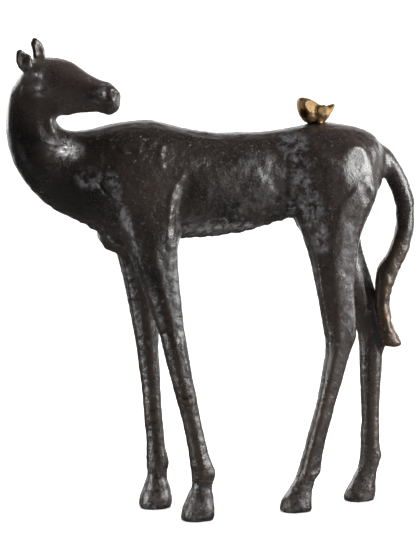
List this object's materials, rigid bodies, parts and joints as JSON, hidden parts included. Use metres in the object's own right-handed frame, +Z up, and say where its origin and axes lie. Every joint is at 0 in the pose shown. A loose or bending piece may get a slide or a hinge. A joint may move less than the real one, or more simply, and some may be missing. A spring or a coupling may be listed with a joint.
{
  "type": "horse sculpture with bird",
  "caption": "Cast tabletop sculpture of a slender long-legged horse that stands with its head turned back towards a small gilt bird perched on its rump.",
  "frame": {"origin": "on the ground, under the middle of the sculpture's bounding box", "axes": "+X from the horse's breast to its tail, -Y to its near (left) side, where its head turns, and +Z up"},
  "size_m": [0.4182, 0.1064, 0.4781],
  "materials": {
    "bronze_patina": "dark bronze patina, waxed, rubbed brown and gold on edges, hooves and tail",
    "gilt": "polished gilt with dark brown patina left in the hollows"
  },
  "bodies": {
    "root": {"horse": "bronze_patina", "bird": "gilt"}
  },
  "joints": []
}
